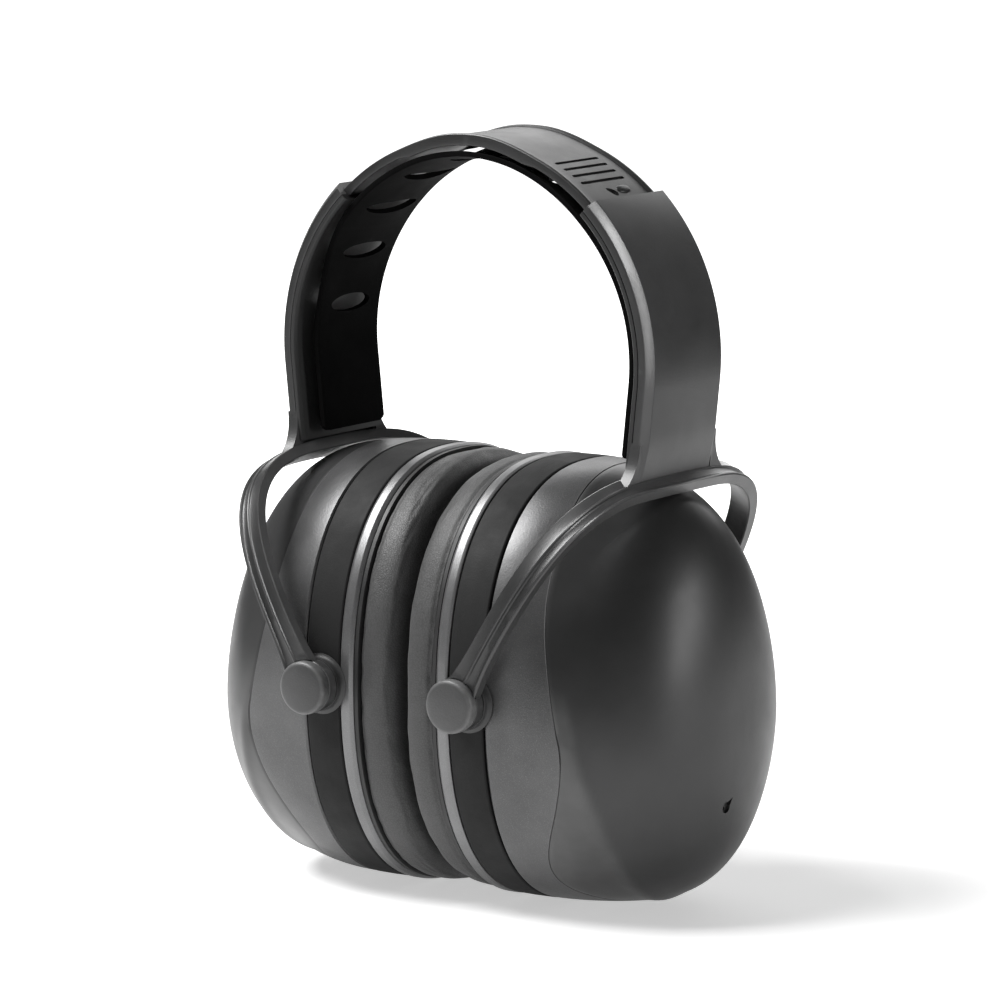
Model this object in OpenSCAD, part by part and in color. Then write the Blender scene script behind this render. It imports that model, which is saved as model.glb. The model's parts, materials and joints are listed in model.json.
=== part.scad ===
// Over-the-head earmuff hearing protector with fork-suspended oval cups.
// Millimetres. +Z up, X from cup to cup, Y from front to rear of each cup.
// The origin is midway between the two cups' pivot axes, on both planes of
// symmetry. Left is -X and right is +X. The pivot buttons named front lie at
// +Y and those named rear at -Y; the two ends are mirror images.

/* [Cups] */
// Half width of the cup rim, along Y
cup_half_w = 46.4; // [45:0.1:47]
// Half height of the cup rim, along Z
cup_half_h = 54.7; // [53:0.1:55.5]
// Squareness of the cup outline, 2 is a true ellipse
cup_power = 2.35; // [2.1:0.05:2.6]
// Height of the outline's centre above the pivot axis
cup_z = -0.5; // [-1:0.1:0.5]
// Distance of the outermost point of the domed cover from the middle plane
cover_x = 69.7; // [66:0.1:74]
// Distance of the joint between cup shell and domed cover from the middle plane
crease_x = 44; // [42:0.5:46]
// Wall thickness of shell and cover
wall = 2.2; // [1.8:0.1:2.6]
// Width of the soft band round the cup rim
rim_w = 10.5; // [9:0.5:11]

/* [Ear cushions] */
// Thickness of one ear cushion
cushion_thick = 10.5; // [9.5:0.1:10.5]
// Half width of the ear opening, along Y
ear_half_w = 19.5; // [17:0.5:20.5]
// Half height of the ear opening, along Z
ear_half_h = 29.5; // [27:0.5:30.5]
// Gap from each cushion face to the middle plane
mid_gap = 0.3; // [0.3:0.1:0.6]

/* [Headband] */
// Height of the headband arc's centre above the pivot axis
band_z = 79.7; // [79:0.1:81]
// Outer radius of the spring bow
bow_r = 53.2; // [53.1:0.05:53.25]
// Width of the spring bow
bow_w = 30; // [28:0.5:30]
// Outer radius of the sliding sleeve
sleeve_r = 55.2; // [54.8:0.1:55.6]
// Width of the sliding sleeve
sleeve_w = 34.6; // [34.2:0.1:35.4]
// Angle of the sleeve's upper end above the horizontal
sleeve_top = 46.4; // [44:0.2:48]
// Angle at which the bow ends inside the sleeve
bow_end = 10; // [9:0.5:12]
// Outer radius of the soft head liner
liner_r = 47.6; // [46.8:0.1:48]
// Width of the soft head liner
liner_w = 29; // [26:0.5:31]
// Number of vent holes along the liner
vent_count = 10; // [6:2:10]

/* [Yoke and pivots] */
// Distance of each cup's pivot axis from the middle plane
pivot_x = 21.7; // [21.5:0.1:22]
// Lean of the fork away from the vertical, in degrees
fork_lean = 29.94; // [29.5:0.1:30.4]
// Half span of the fork at its arms' centreline
fork_half_span = 51; // [50.8:0.1:51.4]
// Reach of the fork from the pivot axis to its crown
fork_reach = 58.85; // [58.5:0.05:59.2]
// Thickness of the fork ribbon
fork_thick = 3; // [2.6:0.1:3.2]
// Width of the fork ribbon
fork_w = 6.5; // [6:0.1:7.5]
// Radius of the pivot pin
pin_r = 3; // [2.6:0.1:3.2]
// Radius of the pivot button's head
head_r = 6.6; // [6.2:0.1:6.8]
// Distance of the button's flat face from the middle, along Y
button_y = 55.3; // [54.9:0.1:55.8]

/* [Hidden] */
$fn = 96;
oval_points = 48;
joint_gap = 0.1;   // between neighbouring parts of the cup

// All the shapes below are drawn for the right-hand side.

// ---- ovals ----
function signed_pow(v, p) = (v < 0 ? -1 : 1) * pow(abs(v), p);
// Point at parameter angle t of a superellipse with half sizes a and b
function oval_point(a, b, power, t) =
  [a * signed_pow(cos(t), 2 / power), b * signed_pow(sin(t), 2 / power)];
function oval(a, b, power = cup_power, count = oval_points) =
  [for (i = [0 : count - 1]) oval_point(a, b, power, 360 * i / count)];

// Solid oval plate between the planes x0 and x1
module oval_plate(x0, x1, half_w, half_h)
  translate([x0, 0, cup_z]) rotate([90, 0, 90]) linear_extrude(x1 - x0)
    polygon(oval(half_w, half_h));

// Oval plate set in from the cup rim
module rim_plate(x0, x1, inset)
  oval_plate(x0, x1, cup_half_w - inset, cup_half_h - inset);

module rim_hoop(x0, x1, outer_inset, inner_inset) difference() {
  rim_plate(x0, x1, outer_inset);
  rim_plate(x0 - 1, x1 + 1, inner_inset);
}

// Plug the size of the ear opening, grown all round
module ear_plug(x0, x1, grow) oval_plate(x0, x1, ear_half_w + grow, ear_half_h + grow);

// Skin through a list of oval rings [x, half_y, half_z, centre_z, power].
// loop = true joins the last ring to the first, otherwise both ends are capped.
module skin(rings, loop = false) {
  n = oval_points;
  count = len(rings);
  points = [for (r = rings) for (p = oval(r[1], r[2], r[4])) [r[0], p[0], r[3] + p[1]]];
  sides = [for (k = [0 : loop ? count - 1 : count - 2]) for (i = [0 : n - 1])
    let (next_i = (i + 1) % n, next_k = (k + 1) % count,
         a = k * n + i, b = k * n + next_i, c = next_k * n + next_i, d = next_k * n + i)
    each [[a, b, c], [a, c, d]]];
  caps = loop ? [] :
    [[for (i = [0 : n - 1]) n - 1 - i], [for (i = [0 : n - 1]) (count - 1) * n + i]];
  polyhedron(points, concat(sides, caps), convexity = 6);
}

// ---- headband ----
arc_drop = 6;         // angle below the horizontal where the arc turns straight
bow_thick = 2.2;
bow_cut_r = 48;       // radius where cuts through the bow start
groove_count = 4;
groove_start = 55.1;  // angle of the lowest groove
groove_pitch = 3.15;  // degrees
keyhole_angle = 50.2;
liner_thick = 1.4;
liner_run = 18;       // straight length below the arc
vent_pitch = 17.7;    // degrees
arm_cover_r = 50;     // inner radius of the arm's inner cover

// Turns a profile of (radius, Y) round the band's centre from angle a0 to a1
module sweep(a0, a1)
  translate([0, 0, band_z]) rotate([90, 0, 0]) rotate([0, 0, a0])
    rotate_extrude(angle = a1 - a0) children();
// The same sweep on the right and, mirrored, on the left
module sweep_both(a0, a1) {
  sweep(a0, a1) children();
  sweep(180 - a1, 180 - a0) children();
}
// Places a shape whose +X points outward at angle a on the arc
module on_arc(a) translate([0, 0, band_z]) rotate([0, -a, 0]) children();
// Carries a profile straight on below the arc
module run(length)
  on_arc(-arc_drop) translate([0, 0, -length]) linear_extrude(length) children();
module strip(r0, r1, width) translate([r0, -width / 2]) square([r1 - r0, width]);

// Flat strip with a shallow channel along its outer face
module bow_profile() {
  h = bow_w / 2;
  r0 = bow_r - bow_thick;
  channel_r = bow_r - 0.5;
  polygon([[r0, -h], [bow_r, -h], [bow_r, 1.4 - h], [channel_r, 1.9 - h],
           [channel_r, h - 1.9], [bow_r, h - 1.4], [bow_r, h], [r0, h]]);
}

module bow_shape() difference() {
  sweep(bow_end, 180 - bow_end) bow_profile();
  // grip grooves across the bow above each sleeve
  for (k = [0 : groove_count - 1]) {
    a = groove_start + groove_pitch * k;
    sweep_both(a - 0.55, a + 0.55) strip(bow_r - 1.1, bow_r + 2, 19.2);
  }
  // detent keyholes: a round hole with a slot through it
  for (a = [keyhole_angle, 180 - keyhole_angle]) {
    on_arc(a) rotate([0, 90, 0]) cylinder(r = 1.3, h = 60);
    on_arc(a) translate([bow_cut_r, -0.55, -3.2]) cube([10, 1.1, 6.4]);
  }
  // notches that hold the stop clips
  sweep_both(bow_end - 1, bow_end + 6.6) strip(bow_cut_r, bow_cut_r + 8, 8.3);
}

module stop_clip_shape()
  sweep(bow_end + 0.05, bow_end + 6.45) strip(bow_r - bow_thick, bow_r, 8);

module liner_profile() strip(liner_r - liner_thick, liner_r, liner_w);

// Foot from mid-liner out to the arm's inner cover
module liner_foot() {
  foot_r = liner_r - liner_thick / 2;
  on_arc(-arc_drop) translate([foot_r, -4, -17.5])
    cube([arm_cover_r - joint_gap - foot_r, 8, 3]);
}

module liner_shape() difference() {
  union() {
    sweep(-arc_drop, 180 + arc_drop) liner_profile();
    for (m = [0, 1]) mirror([m, 0, 0]) {
      run(liner_run) liner_profile();
      liner_foot();
    }
  }
  // vents
  for (k = [0 : vent_count - 1])
    on_arc(90 + vent_pitch * (k - (vent_count - 1) / 2))
      rotate([90, 0, 90]) linear_extrude(60) polygon(oval(8.8, 2.4, 2, 28));
}

// ---- pivots ----
pivot_gap = 0.05;
eye_y = 50.15;        // middle of the fork's eye
eye_thick = 2.9;
recess_y = eye_y + eye_thick / 2 + pivot_gap;   // floor of the recess for the button's head
cup_hole_y = 45;      // middle of the cuts through the cup's side
boss_r = 7;           // wide seat outside the rim band
boss_y = 48.4;        // outer face of the seat
neck_r = 4.3;         // neck through the rim band
neck_y = 42.3;        // inner end of the neck

// Discs on the pivot axis at +y and -y
module pivot_discs(r, y, h) for (s = [-1, 1])
  translate([pivot_x, s * y, 0]) rotate([90, 0, 0]) cylinder(r = r, h = h, center = true);

// Turns +Z outward along the pivot axis, to +Y for s = 1 and -Y for s = -1
module on_pivot(s) translate([pivot_x, 0, 0]) rotate([s * -90, 0, 0]) children();

// Button head with a pin that passes the fork's eye and the cup's boss.
// Profile columns: radius, distance from the middle along Y.
module button_shape(s) on_pivot(s) rotate_extrude()
  polygon([[0, 39.6], [2.6, 39.6], [pin_r + 0.5, 40.6], [pin_r + 0.5, 41.2],
           [pin_r, 41.4], [pin_r, recess_y + pivot_gap], [head_r, recess_y + pivot_gap],
           [head_r, button_y - 1.3], [head_r - 0.5, button_y - 0.5],
           [head_r - 1.5, button_y], [0, button_y]]);

// ---- arm: sleeve with its fork, and inner cover ----
sleeve_run = 22.8;            // straight lengths below the arc
arm_cover_run = 20;
sleeve_in_r = 51.65;
sleeve_wall = 1.85;           // outside the bow
channel_h = bow_w / 2 + 0.2;  // half width of the channel the bow slides in
fork_power = 3.36;            // squareness of the fork's curve
fork_steps = 40;

// Fork's centreline moved out by d: x along Y, y from the pivot axis to the crown
function fork_line(d) = [for (i = [0 : fork_steps])
  oval_point(fork_half_span + d, fork_reach + d, fork_power, 180 * i / fork_steps)];

module fork_outline() {
  inner = fork_line(-fork_thick / 2);
  intersection() {
    polygon(concat(fork_line(fork_thick / 2), [for (i = [fork_steps : -1 : 0]) inner[i]]));
    // ends the arms just above the pivot axis
    translate([-60, 2.5]) square([120, 70]);
  }
}

module fork()
  translate([pivot_x, 0, 0]) rotate([0, fork_lean, 0]) rotate([90, 0, 90])
    translate([0, 0, -fork_w / 2]) linear_extrude(fork_w) fork_outline();

module sleeve_profile() {
  h = sleeve_w / 2;
  channel_r = sleeve_r - sleeve_wall;
  polygon([[sleeve_in_r, -h], [sleeve_r - 1.5, -h], [sleeve_r, 2.3 - h],
           [sleeve_r, h - 2.3], [sleeve_r - 1.5, h], [sleeve_in_r, h],
           [sleeve_in_r, channel_h], [channel_r, channel_h],
           [channel_r, -channel_h], [sleeve_in_r, -channel_h]]);
}

// Plate that flares from the sleeve's +Y edge in a quarter circle
module gusset() {
  h = sleeve_w / 2;
  flare = 7.6;
  top = -15;
  bottom = -23;
  on_arc(-arc_drop) translate([sleeve_in_r, 0, 0])
    rotate([90, 0, 90]) linear_extrude(2.6)
      polygon(concat([[h - 1, bottom], [h - 1, top], [h, top]],
        [for (t = [10 : 10 : 90]) [h + flare * (1 - cos(t)), top - flare * sin(t)]],
        [[h + flare, bottom]]));
}

module yoke_shape() difference() {
  union() {
    sweep(-arc_drop, sleeve_top) sleeve_profile();
    run(sleeve_run) sleeve_profile();
    gusset();
    mirror([0, 1, 0]) gusset();
    fork();
    pivot_discs(head_r - 0.1, eye_y, eye_thick);
  }
  pivot_discs(pin_r + pivot_gap, eye_y, 20);
  // recess for the button's head
  pivot_discs(head_r + 0.3, recess_y + 3, 6);
}

module arm_cover_profile() {
  h = sleeve_w / 2;
  chamfer = 0.6;
  r0 = arm_cover_r;
  r1 = sleeve_in_r - 0.05;
  floor_r = r0 + 0.8;
  polygon([[r0, chamfer - h], [r0 + chamfer, -h], [r1, -h], [r1, -channel_h],
           [floor_r, -channel_h], [floor_r, channel_h], [r1, channel_h], [r1, h],
           [r0 + chamfer, h], [r0, h - chamfer]]);
}

module inner_cover_shape() {
  sweep(-arc_drop, sleeve_top) arm_cover_profile();
  run(arm_cover_run) arm_cover_profile();
}

// ---- cup ----
// Stack along X, outward from the cushion
carrier_thick = 1.3;
plate_thick = 3.6;
carrier_x0 = mid_gap + cushion_thick + joint_gap;
carrier_x1 = carrier_x0 + carrier_thick;
plate_x0 = carrier_x1 + joint_gap;
plate_x1 = plate_x0 + plate_thick;
skirt_x = plate_x1 + joint_gap;
rim_x1 = skirt_x + rim_w;
side_x = [rim_x1, rim_x1 + 5, rim_x1 + 11, crease_x];   // rings of the shell's side
dome_x = crease_x + 0.05;

skirt_inset = 2.6;       // of the shell's skirt under the rim band
body_inset = 0.1;        // of shell, cover and rim band from the full outline
plate_half = [27, 37];   // half sizes of the base plate's opening
taper_x = 24;            // where the outside starts to narrow
pole_z = -8.7;           // height the outside narrows to
rounding_x = 23.5;       // length over which the outline turns rounder
rounding = 0.5;          // drop in squareness over that length

// Share of the cup's full size left at distance x, for a profile of the given fullness
function narrowing(x, fullness) = let (s = max(0, (x - taper_x) / (cover_x - taper_x)))
  pow(max(0, 1 - pow(s, fullness)), 1 / fullness);
function body_half_w(x) = cup_half_w * narrowing(x, 2.48);
function body_top(x) = pole_z + (cup_half_h + cup_z - pole_z) * narrowing(x, 2.85);
function body_bottom(x) = pole_z - (cup_half_h - cup_z + pole_z) * narrowing(x, 3.55);

// The functions below give rings for skin().
// Cup's outside at distance x, set in
function body_ring(x, inset) = let (k = min(1, max(0, (x - rim_x1) / rounding_x)))
  [x, body_half_w(x) - inset, (body_top(x) - body_bottom(x)) / 2 - inset,
   (body_top(x) + body_bottom(x)) / 2, cup_power - rounding * k * k * (3 - 2 * k)];
function rim_ring(x, inset) =
  [x, cup_half_w - inset, cup_half_h - inset, cup_z, cup_power];
function moved_to(x, ring) = [x, ring[1], ring[2], ring[3], ring[4]];
// Cover at elevation angle t, set in by depth, and by extra more at the sides
function dome_ring(t, depth, extra = 0) =
  let (x = dome_x + (cover_x - 0.02 - dome_x) * sin(t))
  moved_to(x - depth * sin(t), body_ring(x, (depth + body_inset + extra) * cos(t)));
// Cover's spigot inside the shell's wall
function spigot_ring(x, inset) =
  moved_to(x, body_ring(crease_x, body_inset + wall + 0.15 + inset));

module cup_shell_shape() difference() {
  union() {
    // one wall: side, step, recessed skirt under the rim band, and back up inside
    skin(concat(
      [for (i = [3 : -1 : 0]) body_ring(side_x[i], body_inset)],
      [rim_ring(rim_x1, skirt_inset), rim_ring(skirt_x, skirt_inset),
       rim_ring(skirt_x, skirt_inset + wall), rim_ring(rim_x1 + 1.5, skirt_inset + wall)],
      [for (i = [1 : 3]) body_ring(side_x[i], body_inset + wall)]), loop = true);
    // pivot bosses
    seat_y = cup_half_w + 0.2;
    for (s = [-1, 1]) on_pivot(s) {
      translate([0, 0, neck_y]) cylinder(r = neck_r, h = boss_y - 0.5 - neck_y);
      translate([0, 0, seat_y]) cylinder(r = boss_r, h = boss_y - seat_y);
    }
  }
  pivot_discs(pin_r + pivot_gap, cup_hole_y, 12);
}

// Domed cover with a spigot that snaps into the shell
module outer_cover_shape() {
  spigot_x = crease_x - 2.5;
  spigot_thick = wall - 0.4;
  skin(concat(
    [for (t = [87, 80, 71, 62, 52, 42, 32, 21, 10, 0]) dome_ring(t, 0)],
    [spigot_ring(dome_x, 0), spigot_ring(spigot_x, 0),
     spigot_ring(spigot_x, spigot_thick), spigot_ring(crease_x + 1, spigot_thick)],
    [for (t = [16, 28, 40, 52, 64, 75, 85]) dome_ring(t, wall + 0.3, 1.5)]));
}

module rim_band_shape() difference() {
  rim_hoop(skirt_x, rim_x1 - 0.05, body_inset, skirt_inset - joint_gap);
  pivot_discs(neck_r + 0.1, cup_hole_y, 16);
}

// Plate with a collar inside the shell's skirt
module base_plate_shape() {
  collar_inset = skirt_inset + wall + 0.2;
  difference() {
    rim_plate(plate_x0, plate_x1, -0.1);
    oval_plate(plate_x0 - 1, plate_x1 + 1, plate_half[0], plate_half[1]);
  }
  rim_hoop(plate_x1 - 0.5, 17.8, collar_inset, collar_inset + 1.8);
}

// Plate with a lip that fits the base plate's opening
module carrier_shape() {
  difference() {
    rim_plate(carrier_x0, carrier_x1, 0.5);
    ear_plug(0, 20, 1);
  }
  difference() {
    oval_plate(plate_x0 - 0.2, 15, plate_half[0] - 0.3, plate_half[1] - 0.3);
    oval_plate(0, 20, plate_half[0] - 2, plate_half[1] - 2);
  }
}

module foam_shape() oval_plate(19, crease_x - 3, 36.5, 44.5);

// ---- ear cushion ----
// Crowned outlines: [distance from the cushion's face, inset from the rim]
skin_edge = [[0, 6.4], [0.2, 4.9], [0.55, 3.7], [1.25, 2.7], [2.4, 1.75], [3.95, 1.1],
  [5.7, 0.8], [8, 0.7], [cushion_thick, 0.7]];
lining_edge = [[1.6, 7.4], [1.9, 5.9], [2.4, 4.9], [3.3, 3.8], [4.6, 2.9], [6.2, 2.35],
  [8, 2.2], [cushion_thick + 1, 2.2]];
foam_edge = [[1.75, 7.7], [2.05, 6.2], [2.55, 5.2], [3.45, 4.1], [4.75, 3.2], [6.3, 2.65],
  [8.1, 2.45], [cushion_thick - 0.1, 2.45]];

module crowned(edge)
  skin([for (i = [len(edge) - 1 : -1 : 0]) rim_ring(mid_gap + edge[i][0], edge[i][1])]);

module cushion_skin_shape() difference() {
  crowned(skin_edge);
  ear_plug(-5, 30, 0);
  // hollow for the foam
  difference() {
    crowned(lining_edge);
    ear_plug(-5, 31, 1.2);
  }
}

module cushion_foam_shape() difference() {
  crowned(foam_edge);
  ear_plug(-5, 30, 1.4);
}

// ---- nodes ----
yoke_color = [0.13, 0.13, 0.14];
inner_cover_color = [0.07, 0.07, 0.08];
clip_color = [0.08, 0.08, 0.08];
button_color = [0.28, 0.28, 0.29];
shell_color = [0.32, 0.32, 0.33];
outer_cover_color = [0.08, 0.08, 0.09];
rim_color = [0.05, 0.05, 0.05];
plate_color = [0.55, 0.55, 0.56];
carrier_color = [0.06, 0.06, 0.06];
acoustic_color = [0.20, 0.20, 0.20];
skin_color = [0.16, 0.16, 0.17];
foam_color = [0.75, 0.72, 0.60];

module headband_bow() color([0.10, 0.10, 0.11]) bow_shape();
module headband_liner() color([0.03, 0.03, 0.03]) liner_shape();

module right_yoke() color(yoke_color) yoke_shape();
module right_arm_inner_cover() color(inner_cover_color) inner_cover_shape();
module right_stop_clip() color(clip_color) stop_clip_shape();
module right_front_pivot_button() color(button_color) button_shape(1);
module right_rear_pivot_button() color(button_color) button_shape(-1);
module right_cup_shell() color(shell_color) cup_shell_shape();
module right_outer_cover() color(outer_cover_color) outer_cover_shape();
module right_rim_band() color(rim_color) rim_band_shape();
module right_base_plate() color(plate_color) base_plate_shape();
module right_cushion_carrier() color(carrier_color) carrier_shape();
module right_acoustic_foam() color(acoustic_color) foam_shape();
module right_cushion_skin() color(skin_color) cushion_skin_shape();
module right_cushion_foam() color(foam_color) cushion_foam_shape();

module flip() mirror([1, 0, 0]) children();
module left_yoke() color(yoke_color) flip() yoke_shape();
module left_arm_inner_cover() color(inner_cover_color) flip() inner_cover_shape();
module left_stop_clip() color(clip_color) flip() stop_clip_shape();
module left_front_pivot_button() color(button_color) flip() button_shape(1);
module left_rear_pivot_button() color(button_color) flip() button_shape(-1);
module left_cup_shell() color(shell_color) flip() cup_shell_shape();
module left_outer_cover() color(outer_cover_color) flip() outer_cover_shape();
module left_rim_band() color(rim_color) flip() rim_band_shape();
module left_base_plate() color(plate_color) flip() base_plate_shape();
module left_cushion_carrier() color(carrier_color) flip() carrier_shape();
module left_acoustic_foam() color(acoustic_color) flip() foam_shape();
module left_cushion_skin() color(skin_color) flip() cushion_skin_shape();
module left_cushion_foam() color(foam_color) flip() cushion_foam_shape();

headband_bow();
headband_liner();
right_yoke();
right_arm_inner_cover();
right_stop_clip();
right_front_pivot_button();
right_rear_pivot_button();
right_cup_shell();
right_outer_cover();
right_rim_band();
right_base_plate();
right_cushion_carrier();
right_acoustic_foam();
right_cushion_skin();
right_cushion_foam();
left_yoke();
left_arm_inner_cover();
left_stop_clip();
left_front_pivot_button();
left_rear_pivot_button();
left_cup_shell();
left_outer_cover();
left_rim_band();
left_base_plate();
left_cushion_carrier();
left_acoustic_foam();
left_cushion_skin();
left_cushion_foam();
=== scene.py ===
# Over-ear headphones standing upright with their cushions face to face.
# Z is up, -Y is the front and +X the wearer-named "right" side; the left side mirrors it in X.
# The cushions meet at X = 0 and the cups' pivot axes run along Y at Z = 0.
import bpy, bmesh, math, json
import numpy as np
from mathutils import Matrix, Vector

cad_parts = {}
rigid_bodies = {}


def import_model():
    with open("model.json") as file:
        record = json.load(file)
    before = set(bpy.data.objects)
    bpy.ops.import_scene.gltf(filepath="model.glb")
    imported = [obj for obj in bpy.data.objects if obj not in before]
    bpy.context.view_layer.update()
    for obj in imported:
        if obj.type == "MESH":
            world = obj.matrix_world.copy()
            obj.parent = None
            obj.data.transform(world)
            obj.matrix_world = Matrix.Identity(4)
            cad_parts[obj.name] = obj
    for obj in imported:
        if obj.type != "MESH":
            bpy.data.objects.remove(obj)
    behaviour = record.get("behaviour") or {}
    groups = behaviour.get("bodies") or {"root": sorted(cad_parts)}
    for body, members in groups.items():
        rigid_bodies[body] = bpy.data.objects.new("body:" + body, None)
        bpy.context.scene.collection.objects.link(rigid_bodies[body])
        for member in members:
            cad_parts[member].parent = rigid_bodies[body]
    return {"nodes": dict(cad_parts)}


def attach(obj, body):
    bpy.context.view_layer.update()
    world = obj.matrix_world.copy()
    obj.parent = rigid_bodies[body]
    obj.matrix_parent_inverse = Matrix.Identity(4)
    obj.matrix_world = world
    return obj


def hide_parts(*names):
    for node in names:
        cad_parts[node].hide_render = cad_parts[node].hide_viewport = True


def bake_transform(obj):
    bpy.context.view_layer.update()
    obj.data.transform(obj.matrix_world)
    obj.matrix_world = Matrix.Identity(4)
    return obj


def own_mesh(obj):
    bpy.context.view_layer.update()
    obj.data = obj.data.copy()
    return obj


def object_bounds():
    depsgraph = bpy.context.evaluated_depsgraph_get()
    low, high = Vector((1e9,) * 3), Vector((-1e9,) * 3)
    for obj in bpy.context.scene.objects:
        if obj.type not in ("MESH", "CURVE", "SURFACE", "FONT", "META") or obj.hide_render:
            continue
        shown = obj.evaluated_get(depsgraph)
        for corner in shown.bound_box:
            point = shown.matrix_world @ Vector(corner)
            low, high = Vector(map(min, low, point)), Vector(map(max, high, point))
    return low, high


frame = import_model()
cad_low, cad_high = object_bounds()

# Shapes are worked out in millimetres for the right side and written to the meshes in metres.
MM = 0.001
SIGN = {"right": 1, "left": -1}     # direction of each side along X
Y_AXIS = (0, 1, 0)
PIVOT_X = 21.7                      # distance of each pivot axis from the middle plane
BORE_RADIUS = 3.06                  # pivot bores
VIEW_AZIMUTH = math.radians(34.04)  # the camera and the floor are both turned by this
scene = bpy.context.scene
scene.view_settings.view_transform = "Standard"


# ------------------------------------------------------------------ shader graphs
def grey(level):
    return (level, level, level, 1.0)


def tinted(level):
    """Grey with a trace of blue."""
    return (level, level, level * 1.01, 1.0)


class Graph:
    """Nodes of a new material: a Principled shader textured in object coordinates."""

    def __init__(self, name):
        self.material = bpy.data.materials.new(name)
        self.material.use_nodes = True
        self.tree = self.material.node_tree
        self.tree.nodes.clear()
        output = self.node("OutputMaterial")
        self.shader = self.node("BsdfPrincipled")
        self.fill(output, {"Surface": self.shader.outputs["BSDF"]})
        self.place = self.node("TexCoord").outputs["Object"]

    def fill(self, node, inputs):
        """Sets each input to a value, or links it to the socket that feeds it."""
        for key, value in inputs.items():
            if isinstance(value, bpy.types.NodeSocket):
                self.tree.links.new(value, node.inputs[key])
            else:
                node.inputs[key].default_value = value

    def node(self, kind, inputs={}, **settings):
        node = self.tree.nodes.new("ShaderNode" + kind)
        for key, value in settings.items():
            setattr(node, key, value)
        self.fill(node, inputs)
        return node

    def noise(self, scale, detail, roughness, distortion=0, output="Fac"):
        return self.node("TexNoise", {
            "Scale": scale, "Detail": detail, "Roughness": roughness,
            "Distortion": distortion, "Vector": self.place}).outputs[output]

    def ramp(self, source, start, stop, low, high):
        """Colour that runs from low at start to high at stop."""
        node = self.node("ValToRGB", {"Fac": source})
        for element, position, color in zip(node.color_ramp.elements, (start, stop), (low, high)):
            element.position = position
            element.color = color
        return node.outputs["Color"]

    def spread(self, source, start, stop, low, high):
        """Value that runs from low at start to high at stop."""
        return self.node("MapRange", {
            "From Min": start, "From Max": stop, "To Min": low, "To Max": high,
            "Value": source}).outputs["Result"]

    def math(self, operation, first, second=0):
        return self.node("Math", {0: first, 1: second}, operation=operation).outputs[0]

    def mix(self, amount, first, second):
        """Colour mix; the numbers are the colour sockets of the Mix node."""
        return self.node("Mix", {0: amount, 6: first, 7: second}, data_type="RGBA").outputs[2]

    def bump(self, height, strength, distance, **more):
        return self.node("Bump", {"Strength": strength, "Distance": distance,
                                  "Height": height, **more}).outputs["Normal"]


# ------------------------------------------------------------------ materials
def lighten_wear_and_highlight(graph, color, edge, tone, scale, detail, roughness):
    """Lightens the colour where edge is high, in noisy patches: rubbed wear on edges, and a
    painted highlight round the button's rim.
    """
    patches = graph.noise(scale=scale, detail=detail, roughness=roughness)
    return graph.mix(graph.math("MULTIPLY", edge, patches), color, grey(tone))


def pivot_distance(graph):
    """Distance from the nearer cup's pivot axis."""
    axes = graph.node("SeparateXYZ", {0: graph.place}).outputs
    across = graph.math("SUBTRACT", graph.math("ABSOLUTE", axes["X"]), PIVOT_X * MM)
    return graph.math("SQRT", graph.math("ADD", graph.math("MULTIPLY", across, across),
                                         graph.math("MULTIPLY", axes["Z"], axes["Z"])))


def moulded(name, dark, light, gloss, grain, grain_depth, metallic=0.0, coat=0.0, peel=0.0,
            wear=0.0, fleck=0.0, painted_rim_highlight=0.0, side=None, specular=0.5):
    """Moulded plastic: slow tone variation, fine surface grain, uneven gloss, rubbed edges;
    optionally a painted highlight round the button's rim and a painted sheen where the side
    attribute is high.
    """
    graph = Graph(name)
    slow = graph.noise(scale=38, detail=4, roughness=0.6, distortion=0.3)
    color = graph.ramp(slow, start=0.3, stop=0.7, low=tinted(dark), high=tinted(light))
    if fleck:
        dots = graph.noise(scale=6500, detail=1, roughness=0.5)
        amount = graph.spread(dots, start=0.56, stop=0.72, low=0, high=fleck)
        color = graph.mix(amount, color, grey(light * 2.6))
    if wear:
        corner = graph.node("NewGeometry").outputs["Pointiness"]
        edge = graph.spread(corner, start=0.515, stop=0.60, low=0, high=wear)
        color = lighten_wear_and_highlight(graph, color, edge, tone=light * 3 + 0.02,
                       scale=300, detail=5, roughness=0.65)
    if painted_rim_highlight:
        # painted highlight: a lighter ring round the button's rim, broken into noisy patches
        edge = graph.spread(pivot_distance(graph), start=0.0056, stop=0.0064, low=0, high=painted_rim_highlight)
        color = lighten_wear_and_highlight(graph, color, edge, tone=light * 2.6, scale=500, detail=4, roughness=0.6)
    if side:
        # painted sheen: a lighter, more metallic tone where the mesh's "side" attribute is high,
        # standing in for the reflection low on the cover
        sheen_dark, sheen_light, sheen_metallic = side
        amount = graph.node("Attribute", attribute_name="side").outputs["Fac"]
        tone = graph.ramp(slow, start=0.3, stop=0.7, low=grey(sheen_dark), high=grey(sheen_light))
        color = graph.mix(amount, color, tone)
        metallic = graph.math("MULTIPLY", amount, sheen_metallic)
    patches = graph.noise(scale=90, detail=5, roughness=0.6, distortion=0.2)
    graph.fill(graph.shader, {
        "Base Color": color,
        "Roughness": graph.spread(patches, start=0.3, stop=0.7, low=gloss[0], high=gloss[1]),
        "Metallic": metallic,
        "Coat Weight": coat,
        "Coat Roughness": 0.22,
        "Specular IOR Level": specular})
    normal = graph.bump(graph.noise(scale=grain, detail=2.5, roughness=0.6),
                        strength=0.55, distance=grain_depth)
    if peel:
        normal = graph.bump(graph.noise(scale=420, detail=2, roughness=0.5),
                            strength=peel, distance=0.00012, Normal=normal)
    graph.fill(graph.shader, {"Normal": normal})
    return graph.material


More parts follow.
